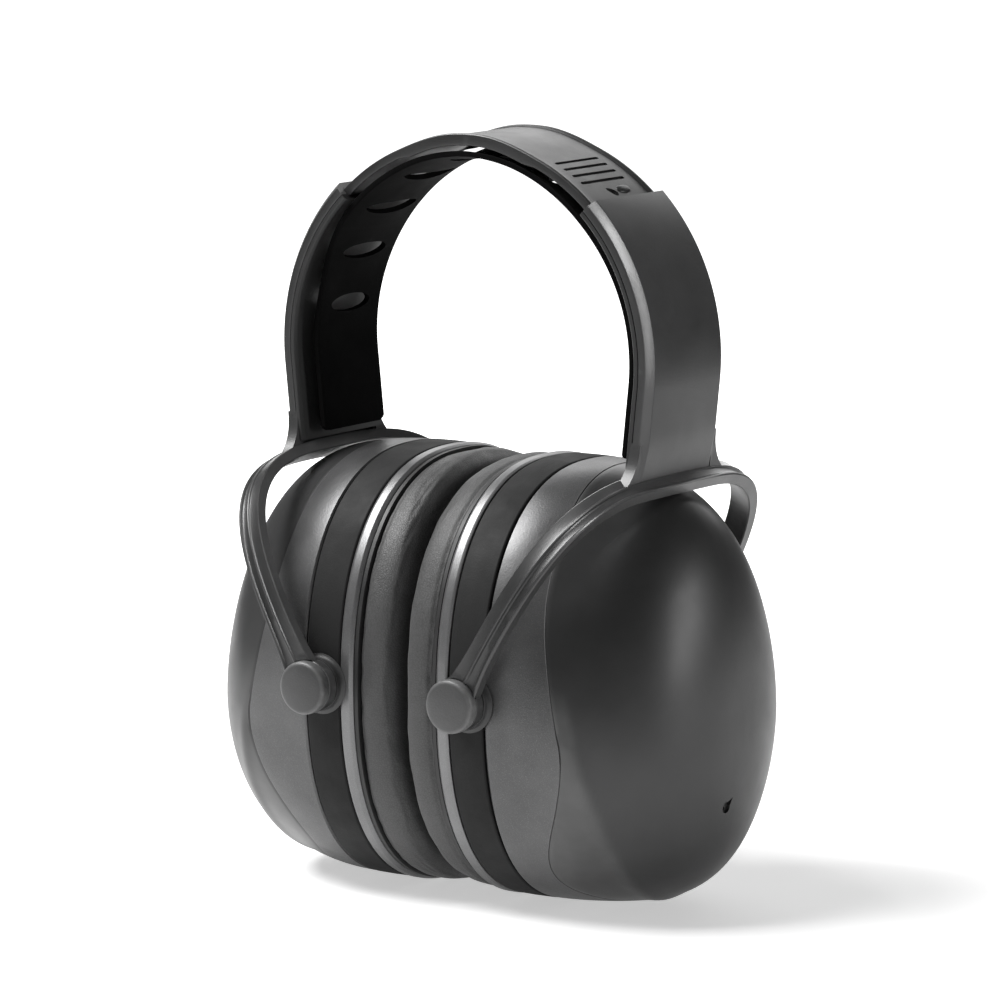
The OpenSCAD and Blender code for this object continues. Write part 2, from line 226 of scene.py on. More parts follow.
def leatherette(name, dark, light):
    """Soft coated fabric: pebbled grain with painted shade in its grooves, creases, uneven sheen.
    """
    graph = Graph(name)
    slow = graph.noise(scale=55, detail=5, roughness=0.62, distortion=0.5)
    pore = graph.node("TexVoronoi", {"Scale": 1500}, feature="DISTANCE_TO_EDGE")
    warp = graph.noise(scale=700, detail=2, roughness=0.5, output="Color")
    warped = graph.node("VectorMath", {0: warp, 1: (0.0006, 0.0006, 0.0006), 2: graph.place},
                        operation="MULTIPLY_ADD")
    graph.fill(pore, {"Vector": warped.outputs[0]})
    pebble = graph.spread(pore.outputs["Distance"], start=0, stop=0.16, low=0, high=1)
    color = graph.ramp(slow, start=0.28, stop=0.72, low=grey(dark), high=grey(light))
    # painted shade: the grain's grooves, low in the bump, are darkened
    groove = graph.math("MULTIPLY", graph.math("SUBTRACT", 1.0, pebble), 0.55)
    graph.fill(graph.shader, {
        "Base Color": graph.mix(groove, color, grey(dark * 0.5)),
        "Roughness": graph.spread(slow, start=0.3, stop=0.7, low=0.46, high=0.60),
        "Sheen Weight": 0.12,
        "Sheen Roughness": 0.4})
    crease = graph.noise(scale=240, detail=4, roughness=0.6, distortion=1.2)
    height = graph.math("ADD", graph.math("MULTIPLY", pebble, 0.35), crease)
    graph.fill(graph.shader, {"Normal": graph.bump(height, strength=0.5, distance=0.00016)})
    return graph.material


def open_foam(name, dark, light):
    """Open-cell foam: fine cells, with painted shade darkening the pits of the pores."""
    graph = Graph(name)
    cells = graph.node("TexVoronoi", {"Scale": 1100, "Vector": graph.place}).outputs["Distance"]
    slow = graph.noise(scale=60, detail=4, roughness=0.6)
    # painted shade: the colour darkens towards the cell centres, the pits of the bump
    color = graph.ramp(cells, start=0.10, stop=0.55, low=grey(dark), high=grey(light))
    shadow = graph.math("MULTIPLY", slow, 0.35)
    graph.fill(graph.shader, {
        "Base Color": graph.mix(shadow, color, grey(dark * 0.6)),
        "Roughness": 0.95,
        "Normal": graph.bump(cells, strength=0.8, distance=0.0003)})
    return graph.material


# Moulded plastics: dark tone, light tone, (lowest, highest) roughness, grain scale,
# grain depth, further features
MOULDED = {
    "bow": (0.014, 0.022, (0.34, 0.44), 2600, 0.00004, dict(coat=0.1, wear=0.3)),
    "liner": (0.0015, 0.003, (0.74, 0.86), 1900, 0.00007, dict(wear=0.15, specular=0.04)),
    "arm": (0.013, 0.020, (0.32, 0.42), 2800, 0.00005, dict(coat=0.15, wear=0.35)),
    "boss": (0.022, 0.034, (0.42, 0.55), 2200, 0.0001, dict(wear=0.2)),
    "dark": (0.010, 0.016, (0.42, 0.58), 2400, 0.00005, {}),
    # the button's lighter rim ring is a painted highlight
    "button": (0.036, 0.064, (0.38, 0.50), 2000, 0.00013, dict(painted_rim_highlight=0.9, fleck=0.12)),
    "shell": (0.075, 0.108, (0.34, 0.46), 2400, 0.00009,
              dict(metallic=0.6, fleck=0.3, wear=0.2)),
    # the cover's side tone is a painted sheen: lighter and metallic low on the dome, where it
    # catches reflected light
    "cover": (0.016, 0.024, (0.36, 0.43), 3000, 0.00002,
              dict(coat=0.08, peel=0.05, wear=0.15, side=(0.060, 0.092, 0.55))),
    "rim": (0.005, 0.0085, (0.62, 0.78), 2000, 0.00008, dict(specular=0.3)),
    "flange": (0.145, 0.20, (0.33, 0.43), 2600, 0.00004, dict(metallic=0.75, fleck=0.2)),
}
MATERIALS = {key: moulded("mat_" + key, *columns, **features)
             for key, (*columns, features) in MOULDED.items()}
MATERIALS["leather"] = leatherette("mat_cushion", dark=0.036, light=0.058)
MATERIALS["foam"] = open_foam("mat_foam", dark=0.015, light=0.075)
MATERIALS["cream"] = open_foam("mat_inner_foam", dark=0.30, light=0.62)


# ------------------------------------------------------------------ mesh helpers
def make_object(name, geometry, material=None):
    """Smooth-shaded object from (vertices in mm, faces)."""
    verts, faces = geometry
    mesh = bpy.data.meshes.new(name)
    mesh.from_pydata((np.asarray(verts, float) * MM).tolist(), [], faces)
    mesh.validate()
    mesh.update()
    obj = bpy.data.objects.new(name, mesh)
    scene.collection.objects.link(obj)
    if material:
        mesh.materials.append(MATERIALS[material])
    mesh.shade_smooth()
    return obj


def solid(name, geometry, material=None):
    """Object whose faces all point outwards."""
    obj = make_object(name, geometry, material)
    work = bmesh.new()
    work.from_mesh(obj.data)
    bmesh.ops.recalc_face_normals(work, faces=work.faces)
    work.to_mesh(obj.data)
    work.free()
    return obj


def shade(obj, sharp):
    """Smooth shading, with edges sharper than the angle in degrees kept; 0 keeps none."""
    obj.data.shade_smooth()
    if sharp:
        obj.data.set_sharp_from_angle(angle=math.radians(sharp))


def mirrored(geometry, side):
    """Right-hand geometry brought to the given side."""
    verts, faces = geometry
    return verts * (SIGN[side], 1, 1), faces


def register(obj, side, part, body):
    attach(obj, f"{side}_{body}")
    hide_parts(f"{side}_{part}")


def piece(side, part, geometry, material, body="cup", replaces=None, sharp=32):
    obj = solid(f"{side}_{part}_v", mirrored(geometry, side), material)
    shade(obj, sharp)
    register(obj, side, replaces or part, body)


def points_mm(mesh):
    return np.array([vertex.co for vertex in mesh.vertices]) / MM


def faces_of(obj):
    return [tuple(polygon.vertices) for polygon in obj.data.polygons]


def discard(obj):
    bpy.data.objects.remove(obj, do_unlink=True)


def loft(rings, loop=False, fan=False):
    """Quads between rings of equal length. A loop joins the last ring to the first;
    otherwise each end is closed with one face, or with a fan of triangles."""
    count, size = len(rings), len(rings[0])
    verts = np.concatenate(rings)
    faces = []
    for k in range(count if loop else count - 1):
        here, there = k * size, (k + 1) % count * size
        for i in range(size):
            j = (i + 1) % size
            faces.append((here + i, here + j, there + j, there + i))
    last = (count - 1) * size
    if fan:
        for start, step in ((0, -1), (last, 1)):
            centre = len(verts)
            verts = np.vstack([verts, verts[start:start + size].mean(0)])
            faces += [(start + i, start + (i + 1) % size, centre)[::step] for i in range(size)]
    elif not loop:
        faces += [tuple(range(size - 1, -1, -1)), tuple(range(last, last + size))]
    return verts, faces


def joined(first, second):
    offset = len(first[0])
    faces = first[1] + [tuple(i + offset for i in face) for face in second[1]]
    return np.concatenate([first[0], second[0]]), faces


def rounded(points, radii, steps=4, closed=False):
    """Polyline with its corners replaced by short curves of about the given radii."""
    points = np.asarray(points, float)
    count = len(points)
    radii = np.broadcast_to(radii, count)
    result = []
    for i, corner in enumerate(points):
        if (not closed and i in (0, count - 1)) or radii[i] <= 0:
            result.append(corner)
            continue
        back, ahead = points[i - 1] - corner, points[(i + 1) % count] - corner
        back_length, ahead_length = np.linalg.norm(back), np.linalg.norm(ahead)
        back, ahead = back / back_length, ahead / ahead_length
        half = math.acos(max(-1, min(1, float(back @ ahead)))) / 2
        reach = min(radii[i] / max(math.tan(half), 1e-6), 0.45 * back_length, 0.45 * ahead_length)
        for k in range(steps + 1):
            t = k / steps
            result.append((1 - t) ** 2 * (corner + back * reach) + 2 * t * (1 - t) * corner
                          + t * t * (corner + ahead * reach))
    return np.array(result)


def apply_modifiers(obj):
    bpy.context.view_layer.update()
    graph = bpy.context.evaluated_depsgraph_get()
    mesh = bpy.data.meshes.new_from_object(obj.evaluated_get(graph), depsgraph=graph)
    materials = list(obj.data.materials)
    obj.modifiers.clear()
    old = obj.data
    obj.data = mesh
    if not mesh.materials:
        for material in materials:
            mesh.materials.append(material)
    bpy.data.meshes.remove(old)


def combine(obj, operation, tools):
    """Cuts the tools away from obj (DIFFERENCE) or welds them to it (UNION)."""
    for tool in tools:
        modifier = obj.modifiers.new("combine", "BOOLEAN")
        modifier.operation = operation
        modifier.solver = "EXACT"
        modifier.object = tool
    apply_modifiers(obj)
    for tool in tools:
        discard(tool)


def prism(outline, depth, origin, x_axis, y_axis, z_axis):
    """Closed prism of an outline in the plane (x_axis, y_axis), centred along z_axis."""
    x_axis, y_axis, z_axis = (np.array(axis, float) for axis in (x_axis, y_axis, z_axis))
    middle = [np.array(origin, float) + x_axis * p[0] + y_axis * p[1] for p in outline]
    return solid("cut", loft([[p - z_axis * depth / 2 for p in middle],
                              [p + z_axis * depth / 2 for p in middle]]))


def turn(count):
    """Even angles round a full turn."""
    return np.linspace(0, 2 * np.pi, count, endpoint=False)


def ellipse(count, half_width, half_height, centre=(0, 0)):
    angles = turn(count)
    return np.stack([half_width * np.cos(angles) + centre[0],
                     half_height * np.sin(angles) + centre[1]], -1)


def bore(radius, depth, x, y, count):
    """Round cutter along Y."""
    return prism(ellipse(count, radius, radius), depth, (x, y, 0), (1, 0, 0), (0, 0, 1), Y_AXIS)


def lathe(profile, end, count):
    """Rings of (radius, distance along Y) about the pivot axis; end is -1 front, 1 rear."""
    angles = turn(count)
    return [np.stack([PIVOT_X + radius * np.cos(angles), np.full(count, end * height),
                      radius * np.sin(angles)], -1) for radius, height in profile]


def signed_power(value, power):
    return np.sign(value) * np.abs(value) ** power


def smooth(value):
    """Smooth step from 0 to 1."""
    value = np.clip(value, 0, 1)
    return value * value * (3 - 2 * value)


# ------------------------------------------------------------------ the cup's oval outline
RING = 208                     # points round every cup ring
OVAL_POWER = 2.35
RIM_Y, RIM_Z = 46.4, 54.7      # half sizes of the rim
RIM_MID = -0.5                 # height of the rim's middle
WALL_X = 26.5                  # where the shell's visible wall starts
DOME_START, DOME_END = 24.0, 69.7
POLE_Z = -8.7                  # height of the dome's pole


def even_angles():
    """Superellipse parameters that space the ring's points evenly along the rim."""
    angles = np.linspace(0, 2 * np.pi, 16001)
    y = RIM_Y * signed_power(np.cos(angles), 2 / OVAL_POWER)
    z = RIM_Z * signed_power(np.sin(angles), 2 / OVAL_POWER)
    length = np.concatenate([[0], np.cumsum(np.hypot(np.diff(y), np.diff(z)))])
    return np.interp(np.linspace(0, length[-1], RING, endpoint=False), length, angles)


COS, SIN = np.cos(even_angles()), np.sin(even_angles())
OVAL_Y, OVAL_Z = signed_power(COS, 2 / OVAL_POWER), signed_power(SIN, 2 / OVAL_POWER)


def oval(x, half_y, half_z):
    return np.stack([np.broadcast_to(x, RING), half_y * OVAL_Y, RIM_MID + half_z * OVAL_Z], -1)


def rim_oval(x, inset):
    return oval(x, RIM_Y - inset, RIM_Z - inset)


def ear_oval(x, half_y):
    """Ring round the ear opening."""
    return oval(x, half_y, half_y + 10)


def cushion_oval(x, half_y):
    """Ring of the cushion, between the ear opening and the rim."""
    return oval(x, half_y, half_y + 8.3 + (RIM_Y - half_y) / (RIM_Y - 19.5) * 1.7)


def fall(x, power):
    along = np.clip((x - DOME_START) / (DOME_END - DOME_START), 0, 1)
    return np.maximum(0, 1 - along ** power) ** (1 / power)


def body(x, inset):
    """Ring of the cup's outside at distance x, which may differ round the ring."""
    x = np.broadcast_to(x, RING)
    half_y = RIM_Y * fall(x, 2.48) - inset
    top = POLE_Z + (RIM_Z + RIM_MID - POLE_Z) * fall(x, 2.85) - inset
    bottom = POLE_Z - (RIM_Z - RIM_MID + POLE_Z) * fall(x, 3.55) + inset
    shift = smooth((x - WALL_X) / 23.5)
    middle = RIM_MID + (POLE_Z - RIM_MID) * shift
    power = 2 / (OVAL_POWER - 0.5 * shift)
    half_z = np.where(SIN > 0, np.maximum(top - middle, 0), np.maximum(middle - bottom, 0))
    return np.stack([x, np.maximum(half_y, 0) * signed_power(COS, power),
                     middle + half_z * signed_power(SIN, power)], -1)


# The joint between shell and cover wanders along the cup's side:
# elevation in degrees round the ring, and distance X of the joint there
ELEVATION = np.degrees(np.arctan2(OVAL_Z, np.abs(OVAL_Y)))
JOINT = np.interp(
    ELEVATION,
    [-90, -80, -70, -65, -57.7, -49.5, -42.7, -34.4, -26.7, -17.6,
     -10.3, -1.3, 6.6, 16.1, 24.4, 32.2, 42, 55, 70, 90],
    [44.5, 43.6, 41.6, 39.9, 37.0, 36.0, 37.2, 40.3, 43.4, 45.6,
     46.3, 46.0, 45.0, 43.0, 41.0, 39.6, 38.9, 37.8, 36.6, 35.6])
for _ in range(6):
    JOINT = (np.roll(JOINT, 1) + JOINT * 2 + np.roll(JOINT, -1)) / 4

SKIN_INSET = 0.1      # shell and cover lie this far inside the ideal body
JOINT_GAP = 0.14      # where their outsides stop, either side of the joint
# Turned-in lip at the joint: distance from the joint, inset
LIP = [(0.05, 0.22), (0.02, 0.5), (0.02, 2.2)]


def fold_line(elevation):
    """Distance X of the soft fold low on the cover, and how strong it is there."""
    fold_x = np.interp(elevation, [-90, -75, -61, -47, -32, -19.7, -9, 3.6, 12],
                       [50.5, 51.2, 52.1, 52.5, 52.1, 50.5, 49.0, 46.6, 44.5])
    return fold_x, np.clip((8 - elevation) / 22, 0, 1)


# ------------------------------------------------------------------ cups
def base_plate(side):
    """Silver flange outside, flat face round the ear opening."""
    face_x = 12.3
    # distance X, inset from the rim
    flange = rounded([(15.95, 6.5), (15.95, 0.15), (15.2, -0.12), (13.2, -0.12), (face_x, 0.5),
                      (face_x, 6.5)], [0, 0.35, 0.6, 0.6, 0.5, 0])
    rings = [rim_oval(x, inset) for x, inset in flange]
    for t in (0.35, 0.7, 0.93):
        rings.append(oval(face_x, 39.9 + (27 - 39.9) * t, 48.2 + (37 - 48.2) * t))
    # distance X, half width of the opening
    for x, half_y in ((12.45, 27.05), (12.9, 27.0), (15.3, 27.0), (15.7, 27.3), (15.95, 28)):
        rings.append(ear_oval(x, half_y))
    piece(side, "base_plate", loft(rings, loop=True), "flange")


def cushion_carrier(side):
    """Ring that the cushion is bonded to, with the spigot that clips into the base plate."""
    # distance X, inset from the rim
    outside = [(12.2, 0.85), (12.05, 0.55), (11.05, 0.55), (10.92, 0.85)]
    # distance X, half width of the opening
    inside = [(10.92, 22), (10.95, 20.75), (11.1, 20.6), (12.0, 20.6), (12.2, 20.9)]
    spigot = [(12.1, 26.6), (14.7, 26.6), (15.0, 26.3), (15.0, 25.4), (14.8, 25.1), (12.1, 25.1)]
    ring = [ear_oval(12.2, 22)] + [rim_oval(*row) for row in outside]
    ring += [ear_oval(*row) for row in inside]
    geometry = joined(loft(ring, loop=True), loft([ear_oval(*row) for row in spigot], loop=True))
    piece(side, "cushion_carrier", geometry, "dark")


def rim_band(side):
    """Soft band round the rim, with a hole at each pivot."""
    # distance X, inset from the rim
    profile = rounded([(16.25, 2.4), (16.25, 0.35), (16.6, 0.02), (21.2, -0.05), (25.8, 0.02),
                       (26.12, 0.35), (26.12, 2.4)], [0, 0.3, 0.5, 4, 0.5, 0.3, 0])
    rings = [rim_oval(x, inset) for x, inset in profile]
    band = solid(side + "_rim_band_v", mirrored(loft(rings, loop=True), side), "rim")
    combine(band, "DIFFERENCE", [
        bore(radius=4.45, depth=14, x=SIGN[side] * PIVOT_X, y=end * 46, count=40)
        for end in (-1, 1)])
    shade(band, 32)
    register(band, side, "rim_band", "cup")


def cup_shell(side):
    """Side wall from the rim to the joint, hollow, with a thin neck under the rim band."""
    start = rounded([(WALL_X, 3.0), (WALL_X, 0.55), (27.1, 0.12)], [0, 0.5, 0])[:-1]
    rings = [rim_oval(x, inset) for x, inset in start]
    for t in np.linspace(0.035, 1, 22):
        rings.append(body(WALL_X + (JOINT - JOINT_GAP - WALL_X) * t, SKIN_INSET))
    rings += [body(JOINT - gap, inset) for gap, inset in LIP]
    for t in (0.75, 0.5, 0.3):
        rings.append(body(WALL_X + (JOINT - WALL_X) * t, 2.3))
    rings.append(body(28.0, 4.7))
    for x, inset in ((26.4, 4.8), (16.1, 4.8), (16.1, 2.65), (26.3, 2.65)):
        rings.append(rim_oval(x, inset))
    piece(side, "cup_shell", loft(rings, loop=True), "shell")


def pivot_bosses(side):
    # radius, distance along Y
    profile = [
        (BORE_RADIUS, 42.4), (BORE_RADIUS, 48.3), (3.15, 48.42), (6.2, 48.42), (6.42, 48.34),
        (6.5, 48.1), (6.52, 47.7), (6.62, 47.3), (6.85, 46.95), (7.25, 46.72), (7.6, 46.6),
        (7.6, 46.52), (4.3, 46.52), (4.3, 42.4)]
    for where, end in (("front", -1), ("rear", 1)):
        piece(side, where + "_pivot_boss", loft(lathe(profile, end, 72), loop=True), "boss",
              replaces="cup_shell")


def dome_recess(side):
    """Cutters for a drop-shaped recess with a pinhole, low on the front of the dome."""
    sign = SIGN[side]
    drop = [(1.45 * math.cos(t) - 0.9, 1.45 * math.sin(t) - 0.8)
            for t in np.linspace(math.radians(72), math.radians(372), 28)]
    tip = math.radians(42)
    drop.append((3.4 * math.cos(tip) - 0.9, 3.4 * math.sin(tip) - 0.8))
    pinhole = ellipse(24, 0.55, 0.55, centre=(-1.3, -1.1))
    slope = Vector((0.994, -0.052, -0.099)).normalized()
    outward = (sign * slope.x, slope.y, slope.z)
    upward = Vector((sign * 0.099, 0, 0.994)).normalized()
    return [prism(outline, depth, (sign * x, -2.8, -27.1), Y_AXIS, upward, outward)
            for outline, depth, x in ((drop, 1.7, 69.14), (pinhole, 3.4, 69.0))]


def cover_inside(ring):
    """Ring of the cover's inner skin, scaled towards the middle of the opening."""
    x, y, z = ring.T
    return np.stack([42 + (x - 42) * 0.915 - 0.4, y * 0.94, (z + 3) * 0.945 - 3], -1)


def mark_painted_sheen(cover, side):
    """Stores where the cover gets its painted sheen, a lighter and more metallic tone standing in
    for the reflection low down, below the fold.
    """
    x, y, z = points_mm(cover.data).T
    elevation = np.degrees(np.arctan2((z - RIM_MID) / RIM_Z, np.abs(y) / RIM_Y))
    fold_x, _ = fold_line(elevation)
    # the left cover gets a weaker painted sheen, as it catches less of that reflection
    strength = 1.0 if side == "right" else 0.3
    amount = (smooth((fold_x + 0.6 - np.abs(x)) / 2.6 + 0.5)
              * np.clip((6 - elevation) / 8, 0, 1) * strength)
    attribute = cover.data.attributes.new("side", "FLOAT", "POINT")
    attribute.data.foreach_set("value", amount.astype(np.float32))


def outer_cover(side):
    """Domed cover with an inner skin."""
    fold_x, strength = fold_line(ELEVATION)
    outer = []
    for t in np.sin(np.radians(np.linspace(0.6, 88.6, 46))):
        ring = body(JOINT + JOINT_GAP + (DOME_END - 0.02 - JOINT - JOINT_GAP) * t, SKIN_INSET)
        bulge = 0.55 * strength * np.exp(-((ring[:, 0] - fold_x) / 2.4) ** 2)
        normal = np.stack([np.zeros(RING), ring[:, 1], ring[:, 2] + 4], -1)
        normal /= np.linalg.norm(normal, axis=1, keepdims=True) + 1e-9
        outer.append(ring + normal * bulge[:, None])
    # from the pole down the outside, round the lip and back up the inside
    rings = outer[::-1] + [body(JOINT + gap, inset) for gap, inset in LIP]
    rings += [cover_inside(ring) for ring in outer]
    cover = solid(side + "_outer_cover_v", mirrored(loft(rings, fan=True), side), "cover")
    combine(cover, "DIFFERENCE", dome_recess(side))
    # painted sheen on the cover's lower part, below the fold
    mark_painted_sheen(cover, side)
    shade(cover, 32)
    register(cover, side, "outer_cover", "cup")


def acoustic_foam(side):
    """Soft block with a dished, dimpled face, seen through the ear opening."""
    half_y, half_z, face_x = 36.5, 44.5, 19.0
    # distance X, scale of the block
    sides = ((41.0, 0.90), (40.0, 0.96), (36, 1.0), (24, 1.0), (20.4, 0.985), (19.3, 0.95),
             (face_x, 0.90))
    rings = [oval(x, half_y * scale, half_z * scale) for x, scale in sides]
    for scale in np.linspace(0.84, 0.06, 26):
        ring = oval(face_x + 2.4 * (1 - scale) ** 0.8, half_y * scale, half_z * scale)
        dimples = (0.42 * np.sin(ring[:, 1] * 2 * np.pi / 9.0)
                   * np.sin(ring[:, 2] * 2 * np.pi / 9.0))
        ring[:, 0] += dimples * min(1, (1 - scale) * 4)
        rings.append(ring)
    piece(side, "acoustic_foam", loft(rings, fan=True), "foam", sharp=0)


def cushion_foam(side):
    """Foam ring inside the cushion."""
    # distance X, half width
    profile = rounded([(10.6, 22.6), (10.6, 43.4), (8, 43.5), (4.2, 42.2), (2.6, 39.0),
                       (2.6, 23.6), (4, 22.2)], 1.6, closed=True)
    rings = [cushion_oval(x, half_y) for x, half_y in profile]
    piece(side, "cushion_foam", loft(rings, loop=True), "cream", sharp=0)


# ------------------------------------------------------------------ cushion skins
SKIN_Y, SKIN_Z = RIM_Y - 0.7, RIM_Z - 0.7   # half sizes that wrinkles and seam refer to
BACK_X = 10.8                               # bonded back of the cushion


def quarter_turn(start, stop, count, power):
    """(cosine, sine) of a superelliptic corner."""
    angles = np.linspace(start, stop, count)
    return zip(np.cos(angles) ** (2 / power), np.sin(angles) ** (2 / power))


def cushion_start():
    """Ring with a crowned section, slightly smaller than the finished cushion."""
    # distance X, half width
    profile = [(BACK_X, 43.6), (10.75, 44.3), (10.5, 44.8), (10.0, 45.0), (9.2, 45.08)]
    profile += [(8.0 - 7.45 * sine, 39.6 + 5.5 * cosine)
                for cosine, sine in quarter_turn(0, math.pi / 2, 26, 2.6)]
    profile += [(0.55 + 0.12 * math.sin(math.pi * k / 12), 39.6 - (39.6 - 24.6) * k / 12)
                for k in range(1, 12)]
    profile += [(6.0 - 5.45 * sine, 24.6 - 4.3 * cosine)
                for cosine, sine in quarter_turn(math.pi / 2, 0, 16, 2.3)]
    profile += [(8.0, 20.4), (9.4, 20.7), (10.4, 21.1), (BACK_X, 21.6)]
    profile += [(BACK_X, 21.6 + (43.6 - 21.6) * k / 14) for k in range(1, 14)]
    return loft([cushion_oval(x, half_y) for x, half_y in profile], loop=True)


def simulate_cushion(obj, fixed_x, limit):
    """Cloth with pressure swells the ring. Points beyond fixed_x stay put and no point moves
    further than the limit."""
    rest = points_mm(obj.data)
    group = obj.vertex_groups.new(name="pin")
    for i, point in enumerate(rest):
        if abs(point[0]) > fixed_x:
            group.add([i], 1.0, "REPLACE")
    modifier = obj.modifiers.new("Cloth", "CLOTH")
    cloth = modifier.settings
    cloth.quality = 6
    cloth.mass = 0.15
    cloth.tension_stiffness = 6
    cloth.compression_stiffness = 3
    cloth.shear_stiffness = 3
    cloth.bending_stiffness = 0.35
    cloth.use_pressure = True
    cloth.uniform_pressure_force = 4.0
    cloth.vertex_group_mass = "pin"
    cloth.effector_weights.gravity = 0.0
    cloth.shrink_min = -0.03
    modifier.collision_settings.use_collision = False
    modifier.collision_settings.use_self_collision = False
    modifier.point_cache.frame_start = 1
    modifier.point_cache.frame_end = 20
    for number in range(1, 21):
        scene.frame_set(number)
    graph = bpy.context.evaluated_depsgraph_get()
    shift = points_mm(obj.evaluated_get(graph).data) - rest
    obj.modifiers.clear()
    scene.frame_set(1)
    length = np.linalg.norm(shift, axis=1, keepdims=True) + 1e-9
    return rest + shift / length * (limit * np.tanh(length / limit))


def wrinkled(points):
    """Adds soft wrinkles that run across the section."""
    x, y, z = points[:, 0], points[:, 1] / SKIN_Y, (points[:, 2] - RIM_MID) / SKIN_Z
    angle = np.arctan2(z, y)
    radius = np.hypot(y, z)
    outer = np.clip((radius - 0.84) / 0.14, 0, 1)
    inner = np.clip((0.62 - radius) / 0.14, 0, 1)
    face = 1 - np.clip((x - 1.5) / 5, 0, 1)
    middle = np.sin(np.clip(x / BACK_X, 0, 1) * np.pi) ** 0.5
    wave = (np.sin(angle * 23 + 1.7 * np.sin(angle * 5)) * 0.5
            + np.sin(angle * 41 + 2.1 * np.sin(angle * 3 + 1)) * 0.35
            + np.sin(angle * 67 + x * 0.5 + 1.5 * np.sin(angle * 7)) * 0.22)
    depth = (0.085 * outer + 0.22 * inner) * middle + 0.04 * face
    away = (outer - inner) / np.maximum(radius, 0.1)
    return points + np.stack([-0.3 * face, y * away, z * away], -1) * (wave * depth)[:, None]


def press_seam(mesh):
    """Welded seam: a fine groove round the outer shoulder."""
    points = points_mm(mesh)
    x, y, z = points[:, 0], points[:, 1], points[:, 2] - RIM_MID
    outside = np.hypot(y / SKIN_Y, z / SKIN_Z) > 0.85
    groove = np.exp(-((np.abs(x) - 9.9) / 0.32) ** 2) * outside
    normal = np.stack([np.zeros(len(x)), y, z], -1)
    normal /= np.linalg.norm(normal, axis=1, keepdims=True) + 1e-9
    points -= normal * (0.35 * groove)[:, None]
    mesh.vertices.foreach_set("co", (points * MM).astype(np.float32).ravel())
    mesh.update()


def cushion_skins():
    start = solid("cushion_sim", cushion_start(), "leather")
    points = simulate_cushion(start, fixed_x=10.35, limit=0.75)
    points = wrinkled(points)
    # keep each cushion on its own side of the middle plane
    points[:, 0] = np.clip(points[:, 0], 0.12, 10.85)
    faces = faces_of(start)
    discard(start)
    for side in SIGN:
        skin = solid(side + "_cushion_skin_v", mirrored((points, faces), side), "leather")
        modifier = skin.modifiers.new("Subdivision", "SUBSURF")
        modifier.levels = modifier.render_levels = 1
        apply_modifiers(skin)
        shade(skin, 0)
        press_seam(skin.data)
        register(skin, side, "cushion_skin", "cup")


# ------------------------------------------------------------------ headband path
ARC_Z = 79.7        # centre of the headband's arc
ARC_END = -6        # angle in degrees where each arm leaves the arc and runs straight
ARM_TOP = 46.4      # angle of the sleeve's top
ARM_HALF = 17.3     # half width of the sleeve along Y


def path_frame(angle, extra=0.0, sign=1):
    """Centre, outward and upward directions on the arc at an angle in degrees, then
    extra mm straight down from it."""
    angle = math.radians(angle)
    outward = np.array([sign * math.cos(angle), 0, math.sin(angle)])
    upward = np.array([-sign * math.sin(angle), 0, math.cos(angle)])
    return np.array([0, 0, ARC_Z]) - upward * extra, outward, upward


def section(profile, angle, extra=0.0):
    """Ring of a (radius, Y) profile at one station of the path."""
    centre, outward, _ = path_frame(angle, extra)
    profile = np.asarray(profile)
    return centre + np.outer(profile[:, 0], outward) + np.outer(profile[:, 1], Y_AXIS)


def arm_stations(length, count):
    """(angle, extra) from the sleeve's top along the arc, then straight on for a length."""
    return ([(angle, 0.0) for angle in np.linspace(ARM_TOP, ARC_END, 46)]
            + [(ARC_END, extra) for extra in np.linspace(0, length, count)[1:]])


def arc_prism(outline, depth, angle, radius, side):
    """Prism of a (Y, upward) outline, centred on the arc and pointing outwards."""
    centre, outward, upward = path_frame(angle, sign=SIGN[side])
    return prism(outline, depth, centre + outward * radius, Y_AXIS, upward, outward)


# ------------------------------------------------------------------ yokes
LEAN = math.radians(29.94)                                   # the fork leans outwards
FORK_UP = np.array([math.sin(LEAN), 0, math.cos(LEAN)])
FORK_WIDTH = np.array([math.cos(LEAN), 0, -math.sin(LEAN)])  # across the ribbon
FORK_HALF = 1.5                                              # half thickness of the ribbon


def sleeve():
    """Channel open towards the head, thinned at its lower end."""
    half = ARM_HALF
    # radius, Y
    profile = rounded([(51.7, -half), (53.6, -half), (55.2, -15.0), (55.2, 15.0), (53.6, half),
                       (51.7, half), (51.7, 15.2), (53.35, 15.2), (53.35, -15.2),
                       (51.7, -15.2)],
                      [0.25, 0.5, 0.7, 0.7, 0.5, 0.25, 0.2, 0.2, 0.2, 0.2], 3, closed=True)
    over = np.maximum(profile[:, 0] - 53.4, 0)
    rings = []
    for angle, extra in arm_stations(23.4, 14):
        outward = path_frame(angle, extra)[1]
        thinning = np.outer(over, outward) / 1.8 * 1.15 * smooth((extra - 11) / 12.0)
        rings.append(section(profile, angle, extra) - thinning)
    return loft(rings)


def fork_path(count):
    """Centreline in the leaning plane, (along Y, up), from the rear eye over the crown."""
    angles = np.linspace(0, math.pi, 4001)
    power = 2 / 3.36
    y = 51.0 * signed_power(np.cos(angles), power)
    up = 58.85 * np.abs(np.sin(angles)) ** power
    length = np.concatenate([[0], np.cumsum(np.hypot(np.diff(y), np.diff(up)))])
    along = np.linspace(0, length[-1], count)
    return np.interp(along, length, y), np.interp(along, length, up)


